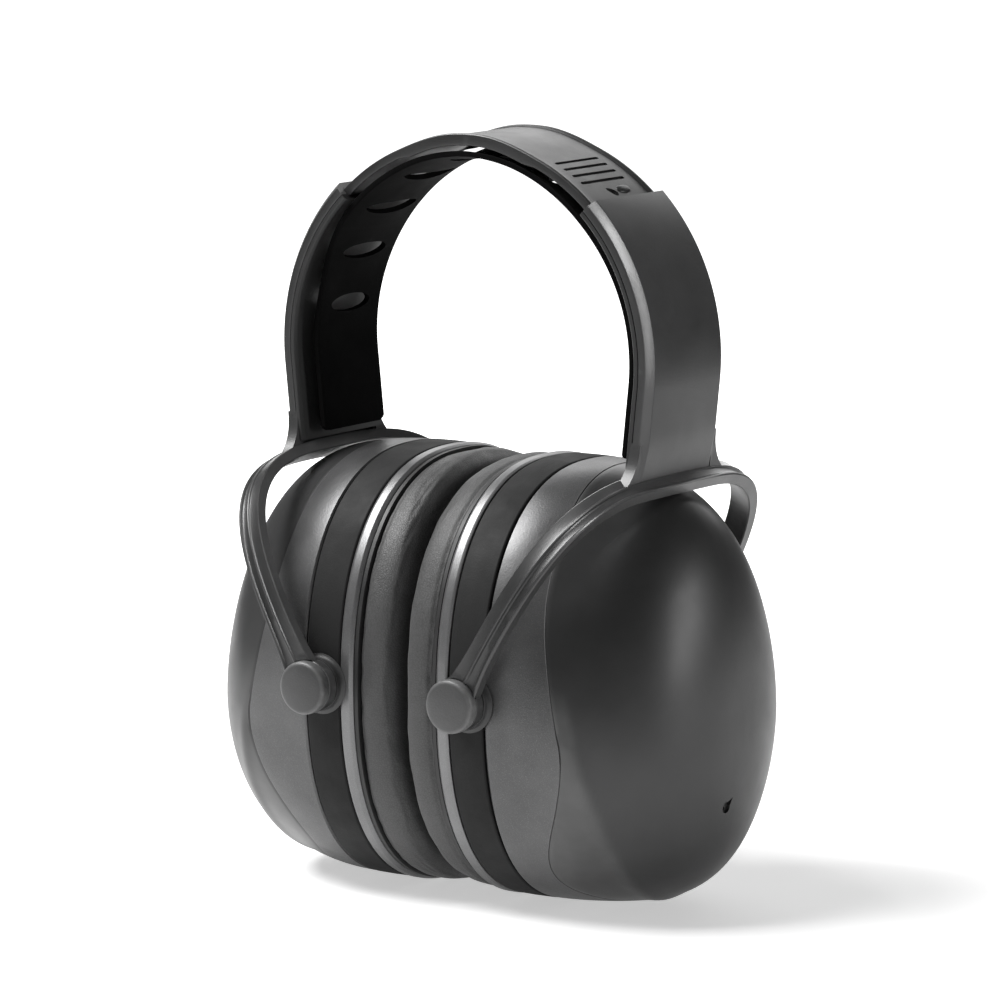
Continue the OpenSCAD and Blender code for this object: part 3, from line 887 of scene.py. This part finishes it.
def fork():
    """Ribbon with two ribs on its outside that fade out at the eyes and the crown."""
    path_y, path_up = fork_path(141)
    step_y, step_up = np.gradient(path_y), np.gradient(path_up)
    length = np.hypot(step_y, step_up)
    normal_y, normal_up = step_up / length, -step_y / length
    flip = np.sign(normal_y * path_y + normal_up * path_up)
    normal_y, normal_up = normal_y * flip, normal_up * flip
    rings = []
    for y, up, out_y, out_up in zip(path_y, path_up, normal_y, normal_up):
        if up < 1.5:
            continue
        near = math.exp(-(up / 9.0) ** 2)       # widens into the eye
        crown = math.exp(-(y / 19.0) ** 4)      # widens under the sleeve
        fade = 1 - math.exp(-(up / 7.0) ** 2)
        low, high = -3.3 - 1.3 * near, 3.3 + 1.3 * near + 0.6 * crown
        inner, outer = -FORK_HALF, FORK_HALF
        # across the ribbon, through its thickness
        profile = [
            (low, inner + 0.25), (low, outer - 0.25), (low + 0.22, outer - 0.03),
            (-0.75, outer), (-0.5, outer + 0.08), (-0.3, outer + 0.34), (-0.05, outer + 0.42),
            (0.2, outer + 0.3), (0.45, outer - 0.16), (0.75, outer - 0.32),
            (high - 1.35, outer - 0.32), (high - 1.1, outer - 0.2), (high - 0.85, outer + 0.2),
            (high - 0.6, outer + 0.36), (high - 0.25, outer + 0.28), (high, outer - 0.05),
            (high, inner + 0.25), (high - 0.25, inner), (low + 0.25, inner)]
        ring = []
        for across, out in profile:
            if out > 0.5:
                out = outer + (out - outer) * fade * (1 - 0.85 * crown)
            ring.append(np.array([PIVOT_X, y + out_y * out, 0]) + FORK_UP * (up + out_up * out)
                        + FORK_WIDTH * across)
        rings.append(np.array(ring))
    return loft(rings)


def flare(end):
    """Curved web beside the sleeve's lower end."""
    half = ARM_HALF
    # along Y, upward from the arc's end
    outline = [(half - 1.5, -24.0), (half - 1.5, -12.5), (half - 0.05, -12.5)]
    for degrees in range(0, 91, 6):
        t = math.radians(degrees)
        outline.append((half + 12.5 * (1 - math.cos(t)), -13.5 - 11.9 * math.sin(t)))
    outline.append((half + 12.5, -26.4))
    centre, outward, upward = path_frame(ARC_END)
    return loft([[centre + outward * radius + upward * up + np.array([0, end * y, 0])
                  for y, up in outline] for radius in (51.3, 54.1)])


def eye(end):
    """Disc round the pivot at one end of the fork."""
    # radius, distance along Y
    profile = rounded([(0.01, 48.75), (6.5, 48.75), (6.5, 51.62), (0.01, 51.62)],
                      [0, 0.4, 0.3, 0], 3)
    return loft(lathe(profile, end, 64), fan=True)


def yoke_mesh():
    """One moulding for the right-hand side: sleeve, fork ribbon, flares and eyes."""
    parts = [sleeve(), fork(), flare(-1), flare(1), eye(-1), eye(1)]
    yoke, *others = [solid("yoke_part", part, "arm") for part in parts]
    combine(yoke, "UNION", others)
    # a bore and the pocket under the button's head, at each end
    cutters = []
    for end in (-1, 1):
        for radius, depth, y in ((BORE_RADIUS, 12, 50), (6.85, 6, 54.66)):
            cutters.append(bore(radius, depth, PIVOT_X, end * y, count=48))
    combine(yoke, "DIFFERENCE", cutters)
    geometry = points_mm(yoke.data), faces_of(yoke)
    discard(yoke)
    return geometry


def arm_inner_cover(side):
    """Inner cover of the sleeve."""
    half = ARM_HALF
    # radius, Y
    profile = rounded([(50.0, 0.7 - half), (50.6, -half), (51.58, -half), (51.58, -15.25),
                       (50.8, -15.25), (50.8, 15.25), (51.58, 15.25), (51.58, half),
                       (50.6, half), (50.0, half - 0.7)],
                      [0.5, 0.4, 0.2, 0.1, 0.1, 0.1, 0.1, 0.2, 0.4, 0.5], 3, closed=True)
    rings = [section(profile, *station) for station in arm_stations(20, 12)]
    piece(side, "arm_inner_cover", loft(rings), "dark", body="arm")


def pivot_buttons(side):
    # radius, distance along Y
    profile = [
        (0.01, 39.7), (2.3, 39.7), (2.6, 39.8), (3.4, 40.7), (3.5, 41.0), (3.4, 41.2),
        (3.0, 41.45), (3.0, 51.6), (3.05, 51.72), (6.2, 51.72), (6.45, 51.8), (6.57, 52.05),
        (6.6, 52.5), (6.6, 53.7), (6.56, 54.1), (6.42, 54.42), (6.15, 54.66), (5.7, 54.84),
        (5.0, 54.98), (4.0, 55.12), (3.0, 55.21), (2.0, 55.27), (1.0, 55.3), (0.3, 55.305),
        (0.02, 55.305)]
    for where, end in (("front", -1), ("rear", 1)):
        piece(side, where + "_pivot_button", loft(lathe(profile, end, 80), fan=True), "button",
              body="arm")


def yokes():
    geometry = yoke_mesh()
    for side in SIGN:
        verts, faces = mirrored(geometry, side)
        if side == "left":
            faces = [face[::-1] for face in faces]
        yoke = make_object(side + "_yoke_v", (verts, faces), "arm")
        shade(yoke, 28)
        register(yoke, side, "yoke", "arm")
        arm_inner_cover(side)
        pivot_buttons(side)


# ------------------------------------------------------------------ headband bow
BOW_END = 10        # angle of the bow's lower end
BOW_HALF = 15.0     # half width along Y
CLEAR = 66.6        # angle above which the sleeve never reaches, so the bow may be thicker


def bow_ring(angle):
    lift = 0.95 * smooth((angle - CLEAR) / 20)
    inner = 51.0 - 0.75 * np.clip((angle - CLEAR) / 4, 0, 1)
    half = BOW_HALF
    # radius, Y
    profile = rounded([(inner, -half), (53.2, -half), (53.32, -14.1), (53.12, -13.4),
                       (52.7, -12.9), (52.7, 12.9), (53.12, 13.4), (53.32, 14.1),
                       (53.2, half), (inner, half), (inner, 14.1), (51.35, 13.4),
                       (51.35, -13.4), (inner, -14.1)],
                      [0.45, 0.5, 0.4, 0.3, 0.4, 0.4, 0.3, 0.4, 0.5, 0.45, 0.2, 0.3, 0.3, 0.2],
                      3, closed=True)
    # the two long faces are split across the width
    points = []
    for start, stop in zip(profile, np.roll(profile, -1, axis=0)):
        count = 12 if np.linalg.norm(stop - start) > 15 else 1
        points += [start + (stop - start) * k / count for k in range(count)]
    return section(np.array(points) + (lift, 0), angle)


def bow_cutters(side):
    """Four slots across the bow, a tilted eyelet below them and the stop clip's notch."""
    arc = np.linspace(-np.pi / 2, np.pi / 2, 9)
    slot = [(9.0 + 0.5 * math.cos(t), 0.5 * math.sin(t)) for t in arc]
    slot += [(-9.0 - 0.5 * math.cos(t), -0.5 * math.sin(t)) for t in arc]
    cutters = [arc_prism(slot, 2.2, 55.1 + 3.15 * k, 53.3, side) for k in range(4)]
    angles = turn(28)
    tilt = math.radians(-38)
    y, up = 2.0 * np.cos(angles), np.sin(angles) * (1 + 0.3 * np.cos(angles))
    eyelet = np.stack([y * math.cos(tilt) - up * math.sin(tilt) - 0.6,
                       y * math.sin(tilt) + up * math.cos(tilt) + 0.4], -1)
    cutters.append(arc_prism(eyelet, 8, 50.2, 52, side))
    notch = [(-4.15, -5), (4.15, -5), (4.15, 3.4), (-4.15, 3.4)]
    cutters.append(arc_prism(notch, 6, BOW_END + 2.9, 52, side))
    return cutters


def detent_pad(side):
    """Pressed pad beside the eyelet: a flattened ellipsoid."""
    centre, outward, upward = path_frame(50.6, sign=SIGN[side])
    rings = []
    for k in range(1, 10):
        t = math.pi * k / 10
        outline = ellipse(32, 2.9 * math.sin(t), 1.45 * math.sin(t), centre=(4.6, 0.3))
        rings.append(centre + outward * 52.55 + np.outer(outline[:, 0], Y_AXIS)
                     + np.outer(outline[:, 1], upward) + outward * (0.75 * math.cos(t)))
    return solid("pad", loft(rings, fan=True))


def bow_halves():
    geometry = loft([bow_ring(angle) for angle in np.linspace(90, BOW_END, 81)])
    for side, sign in SIGN.items():
        bow = solid(side + "_bow_half_v", mirrored(geometry, side), "bow")
        combine(bow, "DIFFERENCE", bow_cutters(side))
        combine(bow, "UNION", [detent_pad(side)])
        shade(bow, 30)
        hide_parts("headband_bow")
        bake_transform(bow)


# ------------------------------------------------------------------ headband liner
LINER_SPLIT = 37    # angle where the upper part meets the lower
LINER_THICK = 1.4
# Outer radius of the liner by angle
LINER_ANGLES = [-6, 10, 30, 45, 60, 75, 90]
LINER_RADII = [47.6, 47.6, 47.6, 47.6, 47.9, 48.3, 48.5]
VENTS = [90 + 17.7 * (k - 4.5) for k in range(5)]   # angles of one side's oval vents


def liner_ring(angle, extra=0.0, taper=1.0):
    outer = float(np.interp(angle, LINER_ANGLES, LINER_RADII))
    inner = outer - LINER_THICK
    widening = smooth((angle - 12) / 34)
    half = (12.9 + 2.4 * widening) * taper
    face = [half * k / 9 for k in range(-8, 9)]
    corners = rounded([(outer, half - 0.6), (outer, half), (inner, half), (inner, half - 0.6)],
                      0.5)
    profile = np.concatenate([[(outer, y) for y in face], corners, [(inner, -y) for y in face],
                              corners[::-1] * (1, -1)])
    # the edges curl outwards
    profile[:, 0] += 1.5 * widening * (profile[:, 1] / half) ** 2
    return section(profile, angle, extra)


def liner_foot(side):
    """Small block on the outside near the lower tip."""
    centre, outward, upward = path_frame(ARC_END, extra=14.0, sign=SIGN[side])
    return prism([(-4, 46.9), (4, 46.9), (4, 49.9), (-4, 49.9)], 2.8, centre, Y_AXIS, outward,
                 -upward)


def liner_parts():
    upper = [liner_ring(angle) for angle in np.linspace(90, LINER_SPLIT, 56)]
    lower = [liner_ring(angle) for angle in np.linspace(LINER_SPLIT, ARC_END, 50)]
    lower += [liner_ring(ARC_END, extra) for extra in np.linspace(0, 17, 17)[1:]]
    # rounded tip: extra length, taper
    lower += [liner_ring(ARC_END, *tip) for tip in ((17.5, 0.97), (17.9, 0.92), (18.2, 0.84))]
    for side, sign in SIGN.items():
        for part, rings in (("upper", upper), ("lower", lower)):
            liner = solid(f"{side}_liner_{part}_v", mirrored(loft(rings), side), "liner")
            cutters = []
            for angle in VENTS:
                if (part == "upper") == (angle > LINER_SPLIT):
                    half = float(np.interp(angle, [10, 28, 46], [8.1, 9.0, 10.6]))
                    cutters.append(arc_prism(ellipse(40, half, 2.3), 8, angle, 46.0, side))
            combine(liner, "DIFFERENCE", cutters)
            if part == "lower":
                combine(liner, "UNION", [liner_foot(side)])
            shade(liner, 35)
            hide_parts("headband_liner")
            if part == "upper":
                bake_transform(liner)
            else:
                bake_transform(liner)


# ------------------------------------------------------------------ assembly
for side in SIGN:
    for build in (base_plate, cushion_carrier, rim_band, cup_shell, pivot_bosses, outer_cover,
                  acoustic_foam, cushion_foam):
        build(side)
cushion_skins()
yokes()
bow_halves()
liner_parts()

# the stop clips keep their CAD shape
for side in ("left", "right"):
    clip = frame["nodes"][side + "_stop_clip"]
    if not clip.material_slots:
        clip.data.materials.append(MATERIALS["dark"])
    for slot in clip.material_slots:
        slot.material = MATERIALS["dark"]

# each cushion's skin and foam get a mesh of their own
for side, sign in SIGN.items():
    for part in ("skin", "foam"):
        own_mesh(bpy.data.objects[f"{side}_cushion_{part}_v"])


# ------------------------------------------------------------------ studio
def studio_floor():
    """Pale floor that runs far back behind the object and glows brighter in the distance."""
    half_width, near, far = 620, -3000, 4500
    z = cad_low.z / MM - 0.6
    corners = [(x, y, z) for y in (near, far) for x in (-half_width, half_width)]
    floor = make_object("studio_floor", (corners, [(0, 1, 3, 2)]))
    floor.rotation_euler = (0, 0, VIEW_AZIMUTH)
    graph = Graph("mat_floor")
    slow = graph.noise(scale=6, detail=3, roughness=0.5)
    color = graph.ramp(slow, start=0.3, stop=0.7, low=grey(0.88), high=grey(0.90))
    distance = graph.node("VectorMath", {0: graph.place}, operation="LENGTH").outputs["Value"]
    glow = graph.spread(distance, start=0.22, stop=0.75, low=0.50, high=1.1)
    seen = graph.node("LightPath").outputs["Is Camera Ray"]
    graph.fill(graph.shader, {
        "Base Color": color,
        "Roughness": 0.9,
        "Specular IOR Level": 0.1,
        "Emission Color": grey(1),
        "Emission Strength": graph.spread(seen, start=0, stop=1, low=0.29, high=glow)})
    floor.data.materials.append(graph.material)


def studio_world():
    """White to the camera, dim as a light."""
    world = bpy.data.worlds.new("studio")
    scene.world = world
    world.use_nodes = True
    tree = world.node_tree
    background = tree.nodes["Background"]
    background.inputs["Color"].default_value = grey(1)
    seen = tree.nodes.new("ShaderNodeLightPath")
    strength = tree.nodes.new("ShaderNodeMapRange")
    strength.inputs["To Min"].default_value = 0.09
    strength.inputs["To Max"].default_value = 1.0
    tree.links.new(seen.outputs["Is Camera Ray"], strength.inputs["Value"])
    tree.links.new(strength.outputs["Result"], background.inputs["Strength"])


# Area lights: name, place, target, width, height, power in watts
LAMPS = [
    ("key", (-0.62, -0.44, 1.12), (0, 0, 0.03), 0.85, 0.65, 31),
    ("crown", (-0.48, 0.98, 0.62), (0, 0, 0.10), 1.3, 0.7, 5.5),
    ("back_right", (1.09, 0.34, 0.24), (0.06, 0, 0.02), 0.46, 0.50, 3.6),
    ("edge_low", (1.04, -0.27, 0.28), (0.03, 0, 0.07), 0.11, 0.8, 7.0),
    ("edge_high", (0.67, -0.24, 0.82), (0.03, 0, 0.07), 0.13, 0.55, 10.5),
    ("edge_back", (-0.62, 1.02, 0.10), (0.03, 0, 0.07), 0.8, 0.6, 4.0),
]


def aim(obj, target):
    obj.rotation_mode = "QUATERNION"
    obj.rotation_quaternion = (Vector(target) - obj.location).to_track_quat("-Z", "Y")


def studio_lights():
    """The edge lights reach only the yokes; the back right light spares them and the floor."""
    edge_lit = bpy.data.collections.new("edge_lit")
    cup_lit = bpy.data.collections.new("cup_lit")
    for obj in scene.objects:
        if obj.type == "MESH" and obj.name != "studio_floor":
            group = edge_lit if obj.name.endswith("yoke_v") else cup_lit
            group.objects.link(obj)
    for name, place, target, width, height, power in LAMPS:
        light = bpy.data.lights.new(name, "AREA")
        light.shape = "RECTANGLE"
        light.size, light.size_y, light.energy = width, height, power
        lamp = bpy.data.objects.new(name, light)
        scene.collection.objects.link(lamp)
        lamp.location = place
        aim(lamp, target)
        lamp.visible_camera = False
        if name.startswith("edge"):
            lamp.light_linking.receiver_collection = edge_lit
        elif name == "back_right":
            lamp.light_linking.receiver_collection = cup_lit


def add_camera():
    elevation, distance = math.radians(10.54), 1.43995
    lens = bpy.data.cameras.new("camera")
    camera = bpy.data.objects.new("camera", lens)
    scene.collection.objects.link(camera)
    scene.camera = camera
    camera.location = distance * Vector((math.sin(VIEW_AZIMUTH) * math.cos(elevation),
                                         -math.cos(VIEW_AZIMUTH) * math.cos(elevation),
                                         math.sin(elevation)))
    aim(camera, (0, 0, 0.0414))
    lens.sensor_width = 36.0
    lens.lens = 207.35
    lens.clip_start, lens.clip_end = 0.05, 20


studio_floor()
studio_world()
studio_lights()
add_camera()
